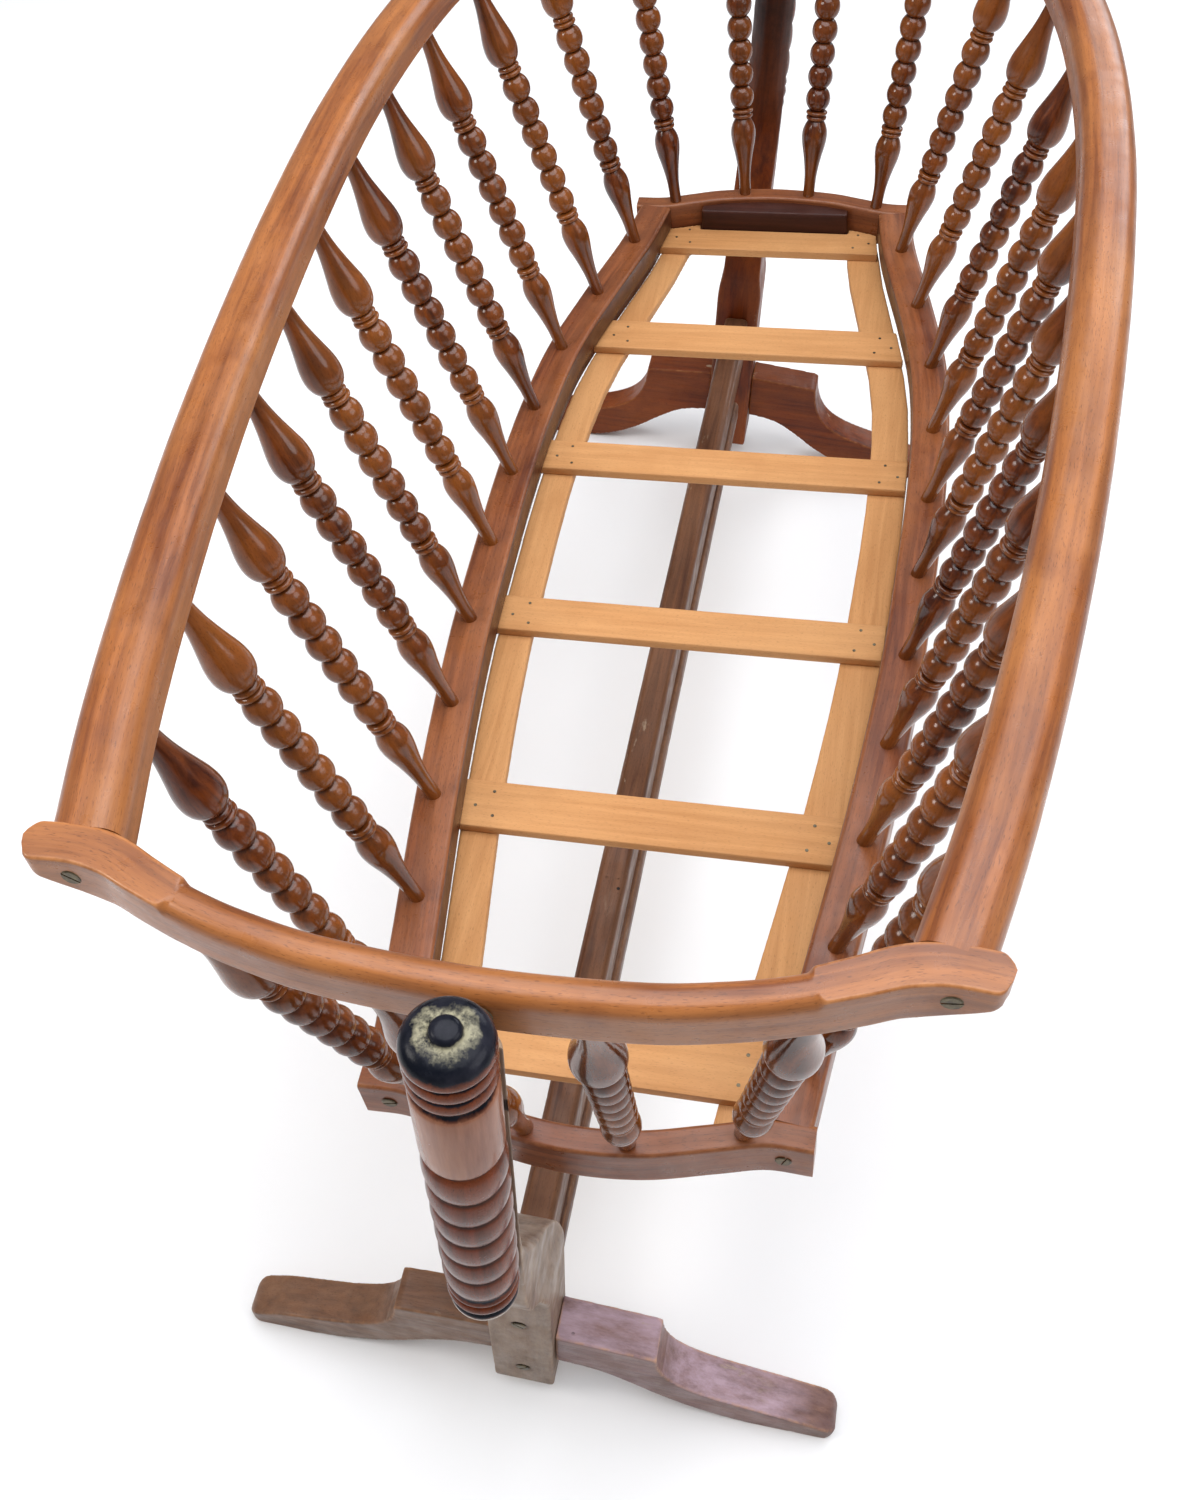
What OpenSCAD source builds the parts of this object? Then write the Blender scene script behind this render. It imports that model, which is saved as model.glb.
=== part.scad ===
// Victorian bead-turned swinging cradle hung between two turned posts on a trestle stand.
// Millimetres. Long axis along Y (foot end at -Y, head end at +Y), width along X, floor at z = 0.

/* [Stand] */

// Height of the square foot blocks above the floor
block_bottom = 20; // [12:1:30]
// Width of each square post block
block_w = 41; // [36:0.5:46]
// Inner face of the post blocks, measured from the middle of the cradle
block_in = 457; // [450:1:470]
// Outer face of the post blocks
block_out = 499; // [490:1:510]
// Inner face of the slim upright behind each turned column
upright_in = 522; // [518:1:526]
// Seam between the upright and the turned column
column_seam = 533; // [530:1:538]
// Axis of the turned column
column_axis = 543; // [540:1:548]
// Underside of the turned column
column_bottom = 346; // [330:1:360]
// Crown of the turned column's cap
column_top = 620; // [610:1:630]
// Top of the slim upright
upright_top = 591; // [588:1:596]
// Radius of the turned columns
column_r = 17.8; // [16:0.1:20]
// Reach of each foot arm from the middle
arm_reach = 210; // [200:1:220]
// Reach of the near left foot arm, which is worn shorter
arm_reach_worn = 199; // [195:1:210]
// Thickness of each foot arm
arm_t = 28; // [24:1:32]
// Top face of the stretcher
stretcher_top = 178; // [165:1:190]
// Width of the stretcher's upper member
stretcher_w = 22; // [18:1:28]

/* [Basket] */

// Top face of the upper rails
upper_top = 594; // [585:1:600]
// Height of the upper rails
upper_h = 25; // [22:1:28]
// Width of the bentwood hoop
hoop_w = 26; // [24:1:30]
// Top face of the lower rails
lower_top = 319; // [310:1:325]
// Height of the lower rails
lower_h = 32; // [28:1:34]
// Width of the lower side rails, below their lip
side_w = 25; // [22:1:28]
// How far the lip of a lower side rail overhangs the slats
lip = 3; // [0:0.5:5]
// Top face of the slats
slat_top = 297; // [293:1:300]
// Thickness of the slats
slat_t = 7; // [6:0.5:8]
// Thickness of the curved strips under the slats
strip_t = 8; // [6:0.5:9]
// Width of the left curved strip under the slats; the right one is a little wider
strip_w = 25; // [22:1:28]
// Gap between the slats' right ends and the right side rail
slat_gap = 3.5; // [0:0.5:6]
// Radius of the turned beads
bead_r = 10.6; // [9:0.1:10.8]
// Widest radius of a spindle's upper vase
vase_r = 12.6; // [10:0.1:13]

/* [Pivot] */

// Height of the swing axis
pivot_z = 581; // [578:1:584]
// Radius of the iron pivot pins
pin_r = 4; // [3.5:0.25:5]
// Radial running clearance in the rail bores
pin_clear = 0.08; // [0.04:0.01:0.1]
// How far the basket is swung about the pivots, in degrees; it hangs plumb at 0
swing = -5.5; // [-20:0.5:20]
// How far the hoop is racked out of line with the bottom frame, in degrees
rack = 1.8; // [-3:0.1:3]

/* [Hidden] */

$fn = 48;

oak = [0.47, 0.27, 0.14];
dark = [0.25, 0.12, 0.07];
beech = [0.78, 0.60, 0.42];
rail = [0.62, 0.36, 0.18];
steel = [0.35, 0.33, 0.30];

// A Catmull-Rom point between p1 and p2 at t.
function cr(p0, p1, p2, p3, t) =
  0.5 * (2 * p1 + (p2 - p0) * t + (2 * p0 - 5 * p1 + 4 * p2 - p3) * t * t
         + (3 * p1 - p0 - 3 * p2 + p3) * t * t * t);
// A smooth line through the points of P, with m steps between neighbours.
function smooth(P, m) = let (n = len(P)) concat(
  [for (i = [0:n - 2]) for (j = [0:m - 1])
    cr(i == 0 ? 2 * P[0] - P[1] : P[i - 1], P[i], P[i + 1],
       i == n - 2 ? 2 * P[n - 1] - P[n - 2] : P[i + 2], j / m)],
  [P[n - 1]]);
function mirrored(P) = let (n = len(P)) concat(
  P, [for (i = [n - 2:-1:0]) [-P[i][0], P[i][1]]]);
function flip_x(P) = [for (p = P) [-p[0], p[1]]];
function unit2(v) = v / norm(v);
// The side direction of a plan line at point i.
function side(P, i) = let (n = len(P), a = P[max(i - 1, 0)], b = P[min(i + 1, n - 1)],
                           d = unit2(b - a)) [d[1], -d[0]];
// A section w wide and h high with top radii ra (left), rb (right) and foot radius rf.
function corner(cx, cz, r, a) = [for (k = [0:3]) [cx + r * cos(a + 30 * k), cz + r * sin(a + 30 * k)]];
function section(w, h, ra, rb, rf) = concat(
  corner(w / 2 - rb, h - rb, rb, 0), corner(-w / 2 + ra, h - ra, ra, 90),
  corner(-w / 2 + rf, rf, rf, 180), corner(w / 2 - rf, rf, rf, 270));

// A bar along plan line P, standing on z, with one section for each point.
module bar(P, S, z) {
  n = len(P);
  m = len(S[0]);
  pts = [for (i = [0:n - 1]) for (q = S[i])
    let (u = side(P, i)) [P[i][0] + u[0] * q[0], P[i][1] + u[1] * q[0], z + q[1]]];
  polyhedron(points = pts, faces = concat(
    [for (i = [0:n - 2]) for (k = [0:m - 1])
      [i * m + k, i * m + (k + 1) % m, (i + 1) * m + (k + 1) % m, (i + 1) * m + k]],
    [[for (k = [m - 1:-1:0]) k]],
    [[for (k = [0:m - 1]) (n - 1) * m + k]]));
}

// ---------------------------------------------------------------- plan lines

hoop_half = [[173, -468], [188, -400], [203, -310], [216, -210], [226, -100], [232, 0],
             [234, 90], [230, 180], [219, 262], [197, 345], [161, 420], [112, 470],
             [57, 497], [0, 504]];
upper_foot_half = [[192, -476], [172, -475], [156, -478], [140, -485], [120, -493],
                   [95, -500], [60, -506], [0, -509]];
lower_foot_half = [[126, -430], [100, -430], [72, -437], [36, -446], [0, -449]];
lower_head_half = [[122, 430], [97, 431], [72, 438], [45, 445], [0, 449]];
side_line = [[112, -423], [118, -370], [125, -315], [135, -237], [143, -160], [149, -85],
             [152, -9], [154, 67], [153, 145], [147, 219], [132, 294], [114, 370], [106, 423]];

side_table = [for (p = smooth(side_line, 4)) [p[1], p[0]]];
hoop_fine = [for (p = smooth(hoop_half, 4)) [p[1], p[0]]];
function side_x(y) = lookup(y, side_table);
function hoop_x(y) = lookup(y, hoop_fine);
function inner_x(y) = side_x(y) - side_w / 2;

// ---------------------------------------------------------------- stand

// The cranked post in side view: square block, S-shaped neck, slim upright.
neck_in = smooth([[block_in, 200], [block_in + 4, 226], [block_in + 22, 268],
                  [block_in + 45, 310], [upright_in - 3, 345], [upright_in, 375]], 4);
neck_out = smooth([[column_seam, 330], [column_seam - 1, 300], [column_seam - 8, 262],
                   [block_out + 9, 222], [block_out + 1, 190], [block_out, 172]], 4);

module post_side() {
  polygon(concat([[block_in, block_bottom]], neck_in, [[upright_in, upright_top],
    [column_seam, upright_top]], neck_out, [[block_out, block_bottom]]));
}

// The post in front view: full block, then a lamb's-tongue shoulder.
module post_front() {
  tongue = smooth([[block_w / 2, 196], [block_w / 2 - 0.6, 208], [block_w / 2 - 2.8, 222],
                   [17, 238]], 4);
  polygon(concat([[-block_w / 2 + 1.5, block_bottom], [block_w / 2 - 1.5, block_bottom],
    [block_w / 2, block_bottom + 1.5]], tongue, [[17, upright_top], [-17, upright_top]],
    flip_x([for (i = [len(tongue) - 1:-1:0]) tongue[i]]),
    [[-block_w / 2, block_bottom + 1.5]]));
}

module post(s) {
  difference() {
    intersection() {
      rotate([90, 0, 90]) translate([0, 0, -block_w / 2])
        linear_extrude(block_w) scale_y_end(s) post_side();
      translate([0, s > 0 ? 600 : -400, 0]) rotate([90, 0, 0])
        linear_extrude(200) post_front();
      // Rounds the upright's inner side and runs out over the block as stopped chamfers.
      translate([0, s * (upright_in + 18.5), 0]) rotate_extrude($fn = 96)
        polygon([[0, 0], [120, 0], [120, 236], [78, 262], [52, 290], [36, 318], [25, 345],
                 [20, 372], [18.8, 400], [18.8, upright_top + 10], [0, upright_top + 10]]);
    }
    // Seat for the pivot pin.
    translate([0, s * (upright_in - 2), pivot_z]) rotate([-90 * s, 0, 0])
      cylinder(r = pin_r, h = 40);
    // Seats for the two screws.
    for (z = [50, 140]) translate([0, s * block_out, z]) rotate([90 * s, 0, 0])
      cylinder(r = 2.2, h = z > 100 ? 62 : 34);
    for (z = [50, 140]) translate([0, s * (block_out + 0.01), z]) rotate([90 * s, 0, 0])
      cylinder(r = 4.6, h = 2.4);
  }
}
module scale_y_end(s) {
  if (s > 0) children(); else mirror([1, 0, 0]) children();
}

module near_post() { color(oak) post(-1); }
module far_post() { color(oak) post(1); }

// The turned column's outline from its foot to its crown.
ring_z = [for (i = [0:5]) 388 + i * 24];
cs = column_r / 20.2;
column_outline = concat(
  [[0, column_bottom], [13 * cs, column_bottom], [17 * cs, column_bottom + 1.5],
   [19 * cs, column_bottom + 5], [19 * cs, column_bottom + 8], [17 * cs, column_bottom + 9],
   [17 * cs, column_bottom + 11], [19.4 * cs, column_bottom + 12.5], [20 * cs, column_bottom + 16],
   [19.4 * cs, column_bottom + 19.5], [17 * cs, column_bottom + 20.5], [17 * cs, column_bottom + 21.5],
   [19 * cs, column_bottom + 22.5], [19.6 * cs, column_bottom + 25], [19 * cs, column_bottom + 27.5]],
  [for (z = ring_z) for (k = [0:8]) [(17.8 + 2.4 * sin(22.5 * k)) * cs, z - 12 + 3 * k]],
  [[17.2 * cs, 521], [17.2 * cs, 523], [19.2 * cs, 525], [19.7 * cs, 528], [19.7 * cs, 576],
   [19.2 * cs, 578.5], [17.2 * cs, 580], [17.2 * cs, 583], [19.2 * cs, 584.5], [19.9 * cs, 588],
   [19.2 * cs, 591.5], [18 * cs, 592.8], [19.4 * cs, 594], [20 * cs, 597.5], [19.4 * cs, 601],
   [18.2 * cs, 602.2], [18.2 * cs, 603.4], [20 * cs, 605], [20.2 * cs, 607.5], [19.6 * cs, 611],
   [17.4 * cs, 614], [13 * cs, 615.6], [7.4 * cs, 616.2], [6.4, 616.8], [5.9, 618.4],
   [3.6, column_top - 0.5], [0, column_top]]);

module column(s) {
  difference() {
    translate([0, s * column_axis, 0]) rotate_extrude() polygon(column_outline);
    // Flat back against the upright.
    translate([-30, s > 0 ? column_seam - 30 : -column_seam, 300])
      cube([60, 30, upright_top - 300]);
    translate([0, s * (upright_in - 2), pivot_z]) rotate([-90 * s, 0, 0])
      cylinder(r = pin_r, h = 32);
  }
}
module near_column() { color(dark) column(-1); }
module far_column() { color(dark) column(1); }

module stretcher_beam() {
  color(oak) rotate([90, 0, 0]) translate([0, 0, -block_in]) linear_extrude(2 * block_in)
    polygon([[-stretcher_w / 2, 130], [stretcher_w / 2, 130], [stretcher_w / 2, stretcher_top - 3],
      [stretcher_w / 2 - 3, stretcher_top], [-stretcher_w / 2 + 3, stretcher_top],
      [-stretcher_w / 2, stretcher_top - 3]]);
}
module stretcher_batten() {
  color(oak) rotate([90, 0, 0]) translate([0, 0, -392]) linear_extrude(392 + block_in)
    polygon([[-15.5, 110], [15.5, 110], [15.5, 126], [13, 130], [-13, 130], [-15.5, 126]]);
}

// One foot arm in front view: raised step, ogee, flat toe.
function arm_top(reach) = concat([[block_w / 2, 103], [82, 98], [86, 96], [87.5, 82]],
  smooth([[87.5, 82], [92, 68], [102, 54], [120, 43], [145, 35], [172, 28], [reach - 14, 21],
          [reach - 5, 16.5], [reach - 1, 11], [reach, 7]], 3));
function arm_foot(reach) = concat([[reach - 1, 1.5], [reach - 4, 0], [158, 0]],
  smooth([[158, 0], [136, 3], [114, 10], [92, 22], [70, 38], [48, 51], [block_w / 2, 56]], 3));
// The arm's plan, with its toe rounded.
function arm_plan(reach) = concat([[0, -arm_t / 2]],
  [for (a = [-90:15:0]) [reach - 9 + 9.2 * cos(a), -arm_t / 2 + 9 + 9 * sin(a)]],
  [for (a = [0:15:90]) [reach - 9 + 9.2 * cos(a), arm_t / 2 - 9 + 9 * sin(a)]], [[0, arm_t / 2]]);

module arm(sx, sy, reach) {
  yc = (block_in + block_out) / 2;
  side_view = concat(arm_top(reach), arm_foot(reach));
  intersection() {
    translate([0, sy * yc + arm_t / 2, 0]) rotate([90, 0, 0]) linear_extrude(arm_t)
      polygon(sx > 0 ? side_view : flip_x(side_view));
    translate([0, sy * yc, -1]) linear_extrude(110)
      polygon(sx > 0 ? arm_plan(reach) : flip_x(arm_plan(reach)));
  }
}
module near_left_foot() { color(oak) arm(-1, -1, arm_reach_worn); }
module near_right_foot() { color(oak) arm(1, -1, arm_reach); }
module far_left_foot() { color(oak) arm(-1, 1, arm_reach); }
module far_right_foot() { color(oak) arm(1, 1, arm_reach); }

module pivot_pins() {
  color(steel) for (s = [-1, 1]) translate([0, s * 503, pivot_z]) rotate([-90 * s, 0, 0])
    cylinder(r = pin_r, h = 548 - 503);
}
module pivot_washers() {
  color(steel) for (s = [-1, 1]) translate([0, s * upright_in, pivot_z]) rotate([90 * s, 0, 0])
    difference() {
      cylinder(r = 9, h = 4.6);
      translate([0, 0, -1]) cylinder(r = pin_r, h = 8);
    }
}

// A slotted countersunk screw whose head faces +Z at z = 0.
module screw(l) {
  difference() {
    union() {
      translate([0, 0, -2.3]) cylinder(r1 = 2.4, r2 = 4.5, h = 2.3);
      translate([0, 0, -0.01]) cylinder(r1 = 4.5, r2 = 3.9, h = 0.5);
      translate([0, 0, -l]) cylinder(r = 2.1, h = l - 2);
    }
    translate([-6, -0.5, -0.6]) cube([12, 1, 2]);
  }
}
module post_screws() {
  color(steel) for (s = [-1, 1]) for (z = [50, 140])
    translate([0, s * block_out, z]) rotate([-90 * s, 0, 0]) rotate([0, 0, z]) screw(z > 100 ? 58 : 33);
}

// ---------------------------------------------------------------- basket frame

// The basket's pieces are drawn plumb and swung together about the pivot line.
module hung() {
  translate([0, 0, pivot_z]) rotate([0, swing, 0]) translate([0, 0, -pivot_z]) children();
}

// The hoop and the upper foot rail are drawn square to the bottom frame and racked about the same line.
module racked() {
  translate([0, 0, pivot_z]) rotate([0, rack, 0]) translate([0, 0, -pivot_z]) children();
}
// Where racking brings a plan point at the height of the upper rails' underside.
function racked_point(p) = let (z = upper_top - upper_h - pivot_z)
  [p[0] * cos(rack) + z * sin(rack), p[1], pivot_z - p[0] * sin(rack) + z * cos(rack)];

module bore_end(s, from, depth) {
  translate([0, s * from, pivot_z]) rotate([-90 * s, 0, 0])
    cylinder(r = pin_r + pin_clear, h = depth);
}

// The hoop is wide along its sides and where it meets the foot rail, and slimmer round its head.
function hoop_wide(y) = lookup(y, [[-470, hoop_w + 5], [-50, hoop_w + 6], [200, hoop_w + 5.5],
                                   [400, hoop_w + 2.5], [480, hoop_w]]);
module top_hoop() {
  line = smooth(mirrored(hoop_half), 4);
  color(rail) hung() racked() difference() {
    bar(line, [for (p = line) section(hoop_wide(p[1]), upper_h, 11, 11, 3)], upper_top - upper_h);
    bore_end(1, 502.8, 24);
  }
}

// Rounded over between two stops; squarer towards its rounded tips.
module upper_foot_rail() {
  tips = [[194.5, -476.4], [194, -476.3], [193, -476.1]];
  line = concat(tips, smooth(mirrored(upper_foot_half), 4),
                [for (i = [2:-1:0]) [-tips[i][0], tips[i][1]]]);
  function wide(x) = (abs(x) > 120 ? 16 + 3 * min(1, (abs(x) - 120) / 40) : 16)
    * (abs(x) > 194.2 ? 0.55 : abs(x) > 193.5 ? 0.75 : abs(x) > 192.5 ? 0.9 : 1);
  function over(x) = max(1.5, min(7, 1.5 + (126 - abs(x)) * 3));
  // The underside sweeps up towards each tip.
  function lift(x) = abs(x) < 160 ? 0 : 15 * pow((abs(x) - 160) / 34.5, 2);
  color(rail) hung() racked() difference() {
    bar(line, [for (p = line) let (u = lift(p[0]))
      [for (q = section(wide(p[0]), upper_h - u, over(p[0]), over(p[0]), 1.5)) [q[0], q[1] + u]]],
      upper_top - upper_h);
    bore_end(-1, 502.8, 24);
  }
}

// A side rail's outline: its lip reaches inwards just above the slats.
lip_z = slat_top - (lower_top - lower_h) + 0.3;
side_section = concat(
  corner(side_w / 2 - 3, lower_h - 3, 3, 0), corner(-side_w / 2 - lip + 1.5, lower_h - 1.5, 1.5, 90),
  [[-side_w / 2 - lip, lip_z], [-side_w / 2, lip_z]],
  corner(-side_w / 2 + 2, 2, 2, 180), corner(side_w / 2 - 2, 2, 2, 270));
module side_rail(sx) {
  line = smooth(side_line, 4);
  l2 = sx > 0 ? line : flip_x(line);
  color(rail) hung() bar(sx > 0 ? line : [for (i = [len(l2) - 1:-1:0]) l2[i]],
    [for (p = line) side_section], lower_top - lower_h);
}
module lower_left_rail() { side_rail(-1); }
module lower_right_rail() { side_rail(1); }

module lower_foot_rail() {
  line = smooth(mirrored(lower_foot_half), 5);
  color(rail) hung() bar(line, [for (p = line) section(16, lower_h, 2.5, 2.5, 1.5)], lower_top - lower_h);
}
module lower_head_rail() {
  a = smooth(mirrored(lower_head_half), 5);
  line = [for (i = [len(a) - 1:-1:0]) a[i]];
  color(rail) hung() bar(line, [for (p = line) section(16, lower_h, 2.5, 2.5, 1.5)], lower_top - lower_h);
}

module rail_screws() {
  color(steel) hung() {
    racked() for (x = [-174, 174]) translate([x, -484.4, 582]) rotate([90, 0, 0])
      rotate([0, 0, x > 0 ? 12 : -35]) screw(30);
    for (x = [-110, 110]) translate([x, -438, 303]) rotate([90, 0, 0])
      rotate([0, 0, x > 0 ? 70 : 20]) screw(30);
    for (x = [-106, 106]) translate([x, 438.6, 303]) rotate([-90, 0, 0])
      rotate([0, 0, x > 0 ? 40 : -15]) screw(30);
  }
}

// ---------------------------------------------------------------- spindles

// Outline of one turned spindle, as [radius, share of the length up from the foot].
function bead(c, r, L) = [for (k = [-3:3]) [r * cos(k * 18.5), c * L + r * sin(k * 18.5)]];
function spindle_outline(L) = concat(
  [[0, -4], [4.7, -4], [5, 0], [4.9, 0.03 * L], [5.2, 0.065 * L], [6.3, 0.1 * L],
   [8, 0.137 * L], [9.7, 0.167 * L], [10.6, 0.194 * L], [10.4, 0.214 * L], [9, 0.232 * L],
   [7.2, 0.245 * L], [6.4, 0.25 * L], [8, 0.252 * L], [8.6, 0.258 * L], [8, 0.264 * L],
   [6.8, 0.266 * L], [8.4, 0.269 * L], [9, 0.274 * L], [8.4, 0.279 * L], [6.4, 0.281 * L]],
  [for (b = [0:5]) for (q = bead(0.317 + b * 0.0706, bead_r - 0.4 + b * 0.08, L)) q],
  [[6.4, 0.708 * L], [8.4, 0.711 * L], [9, 0.716 * L], [8.4, 0.721 * L], [6.8, 0.723 * L],
   [8, 0.726 * L], [8.5, 0.731 * L], [8, 0.736 * L], [6.6, 0.739 * L], [8.6, 0.744 * L],
   [11, 0.757 * L], [vase_r - 0.3, 0.773 * L], [vase_r, 0.79 * L], [vase_r - 0.7, 0.814 * L],
   [vase_r - 2.4, 0.842 * L], [8.2, 0.875 * L], [6.6, 0.907 * L], [5.6, 0.94 * L], [5.1, 0.968 * L],
   [4.9, L], [4.7, L + 4], [0, L + 4]]);

// A spindle standing between two plan points on the lower and upper rails.
module spindle(a, b) {
  foot = [a[0], a[1], lower_top];
  d = racked_point(b) - foot;
  L = norm(d);
  color(dark) hung() translate(foot)
    rotate([0, acos(d[2] / L), atan2(d[1], d[0])])
      rotate_extrude($fn = 32) polygon(spindle_outline(L));
}

foot_step = 75.8;
function foot_y(i) = -388 + foot_step * (i - 1);
function head_y(i) = foot_y(i) * 1.03 + 8;
module side_spindle(sx, i) {
  spindle([sx * side_x(foot_y(i)), foot_y(i)], [sx * hoop_x(head_y(i)), head_y(i)]);
}
module left_spindle_01() { side_spindle(-1, 1); }
module left_spindle_02() { side_spindle(-1, 2); }
module left_spindle_03() { side_spindle(-1, 3); }
module left_spindle_04() { side_spindle(-1, 4); }
module left_spindle_05() { side_spindle(-1, 5); }
module left_spindle_06() { side_spindle(-1, 6); }
module left_spindle_07() { side_spindle(-1, 7); }
module left_spindle_08() { side_spindle(-1, 8); }
module left_spindle_09() { side_spindle(-1, 9); }
module left_spindle_10() { side_spindle(-1, 10); }
module left_spindle_11() { side_spindle(-1, 11); }
module right_spindle_01() { side_spindle(1, 1); }
module right_spindle_02() { side_spindle(1, 2); }
module right_spindle_03() { side_spindle(1, 3); }
module right_spindle_04() { side_spindle(1, 4); }
module right_spindle_05() { side_spindle(1, 5); }
module right_spindle_06() { side_spindle(1, 6); }
module right_spindle_07() { side_spindle(1, 7); }
module right_spindle_08() { side_spindle(1, 8); }
module right_spindle_09() { side_spindle(1, 9); }
module right_spindle_10() { side_spindle(1, 10); }
module right_spindle_11() { side_spindle(1, 11); }
module foot_spindle_1() { spindle([-88, -432], [-125, -491.5]); }
module foot_spindle_2() { spindle([-28, -447], [-42, -508]); }
module foot_spindle_3() { spindle([28, -447], [42, -508]); }
module foot_spindle_4() { spindle([88, -432], [125, -491.5]); }
module head_spindle_1() { spindle([-88, 433], [-120, 466]); }
module head_spindle_2() { spindle([-28, 448], [-42, 505]); }
module head_spindle_3() { spindle([28, 448], [42, 505]); }
module head_spindle_4() { spindle([88, 433], [120, 466]); }

// ---------------------------------------------------------------- slat frame

cleat_half = 64;
module head_cleat() {
  color(rail) hung() translate([0, 0, 284]) linear_extrude(31)
    polygon([[-cleat_half, 424], [cleat_half, 424], [cleat_half, 432.5], [45, 437.5], [20, 440.8], [-20, 440.8],
             [-45, 437.5], [-cleat_half, 432.5]]);
}

strip_y = [-426, -395, -360, -320, -280, -240, -200, -160, -120, -80, -40, 0, 40,
           80, 120, 160, 200, 240, 280, 320, 360, 395, 427];
strip_out = 0.8;
module strip(sx) {
  gap = sx > 0 ? slat_gap : strip_out;
  w = sx > 0 ? strip_w + 3 : strip_w;
  function outer(y) = inner_x(y) - gap + (y > 300 ? (y - 300) * 0.02 : 0) - (y > 400 ? (y - 400) * 0.1 : 0);
  color(beech) hung() translate([0, 0, slat_top - slat_t - strip_t]) linear_extrude(strip_t)
    polygon(concat([for (y = strip_y) [sx * min(outer(y), inner_x(y) - strip_out), y]],
      [for (i = [len(strip_y) - 1:-1:0]) [sx * max(outer(strip_y[i]) - w, cleat_half + 1), strip_y[i]]]));
}
module left_strip() { strip(-1); }
module right_strip() { strip(1); }

slat_y = [412, 268, 114, -56, -224, -386];
slat_w = [36, 37, 33, 33, 37, 38];
module slat(i) {
  y0 = slat_y[i] - slat_w[i] / 2;
  y1 = slat_y[i] + slat_w[i] / 2;
  e = 0.8;
  color(beech) hung() translate([0, 0, slat_top - slat_t]) linear_extrude(slat_t)
    polygon(concat(
      [[-inner_x(y0) - e, y0], [inner_x(y0) - slat_gap, y0]],
      i == 0 ? [[inner_x(421) - slat_gap, 422.4], [84, 425], [72, 428.6], [65.5, 430], [65.5, 423.8],
                [-65.5, 423.8], [-65.5, 430], [-72, 428.6], [-84, 425], [-inner_x(421) - e, 422.4]]
             : [[inner_x(y1) - slat_gap, y1], [-inner_x(y1) - e, y1]]));
}
module slat_1() { slat(0); }
module slat_2() { slat(1); }
module slat_3() { slat(2); }
module slat_4() { slat(3); }
module slat_5() { slat(4); }
module slat_6() { slat(5); }

module slat_nails() {
  color(steel) hung() for (i = [0:5]) for (sx = [-1, 1]) for (q = [[-6, -9], [7, -2], [-3, 10]])
    translate([sx * (side_x(slat_y[i]) - 30 + q[0]), slat_y[i] + q[1], slat_top - 13])
      cylinder(r = 1.1, h = 13.2, $fn = 16);
}

// ---------------------------------------------------------------- nodes

near_post();
far_post();
near_column();
far_column();
stretcher_beam();
stretcher_batten();
near_left_foot();
near_right_foot();
far_left_foot();
far_right_foot();
pivot_pins();
pivot_washers();
post_screws();
top_hoop();
upper_foot_rail();
lower_left_rail();
lower_right_rail();
lower_foot_rail();
lower_head_rail();
rail_screws();
left_spindle_01();
left_spindle_02();
left_spindle_03();
left_spindle_04();
left_spindle_05();
left_spindle_06();
left_spindle_07();
left_spindle_08();
left_spindle_09();
left_spindle_10();
left_spindle_11();
right_spindle_01();
right_spindle_02();
right_spindle_03();
right_spindle_04();
right_spindle_05();
right_spindle_06();
right_spindle_07();
right_spindle_08();
right_spindle_09();
right_spindle_10();
right_spindle_11();
foot_spindle_1();
foot_spindle_2();
foot_spindle_3();
foot_spindle_4();
head_spindle_1();
head_spindle_2();
head_spindle_3();
head_spindle_4();
head_cleat();
left_strip();
right_strip();
slat_1();
slat_2();
slat_3();
slat_4();
slat_5();
slat_6();
slat_nails();
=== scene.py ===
import math

import bmesh
import bpy
import numpy as np
from mathutils import Matrix, Vector


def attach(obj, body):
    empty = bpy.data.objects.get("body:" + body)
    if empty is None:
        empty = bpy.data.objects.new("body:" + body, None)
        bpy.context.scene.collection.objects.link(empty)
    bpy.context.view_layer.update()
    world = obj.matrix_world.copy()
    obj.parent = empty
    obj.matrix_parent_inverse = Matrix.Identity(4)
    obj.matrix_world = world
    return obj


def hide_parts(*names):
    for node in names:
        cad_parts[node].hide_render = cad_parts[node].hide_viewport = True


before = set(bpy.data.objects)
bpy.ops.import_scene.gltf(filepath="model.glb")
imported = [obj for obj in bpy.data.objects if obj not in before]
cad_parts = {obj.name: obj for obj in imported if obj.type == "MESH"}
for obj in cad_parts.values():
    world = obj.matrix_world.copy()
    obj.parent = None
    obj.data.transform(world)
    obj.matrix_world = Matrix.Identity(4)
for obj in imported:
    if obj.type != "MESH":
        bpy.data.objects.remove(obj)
for stray in ("Cube", "Light", "Camera"):
    if stray in bpy.data.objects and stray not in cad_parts:
        bpy.data.objects.remove(bpy.data.objects[stray])
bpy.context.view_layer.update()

MM = 0.001
# Heights and widths in mm, as in the part's source.
PIVOT = 581
UPPER_Z, UPPER_H = 569, 25
LOWER_Z, LOWER_H = 287, 32
LOWER_TOP = LOWER_Z + LOWER_H
SIDE_W, END_W = 25, 16
LIP, LIP_Z = 3, 10.3
COLUMN_R, OUTLINE_R = 17.8, 20.2
COLUMN_AXIS, COLUMN_FOOT, SEAM, UPRIGHT_TOP = 543, 346, 533, 591


def about_pivot(degrees):
    """A turn about the line through the two pivots."""
    return (Matrix.Translation((0, 0, PIVOT * MM)) @ Matrix.Rotation(math.radians(degrees), 4, "Y")
            @ Matrix.Translation((0, 0, -PIVOT * MM)))


RACK = about_pivot(1.8)
HANG = about_pivot(-5.5)
HANG_TOP = HANG @ RACK

# ------------------------------------------------------------------ camera

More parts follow.
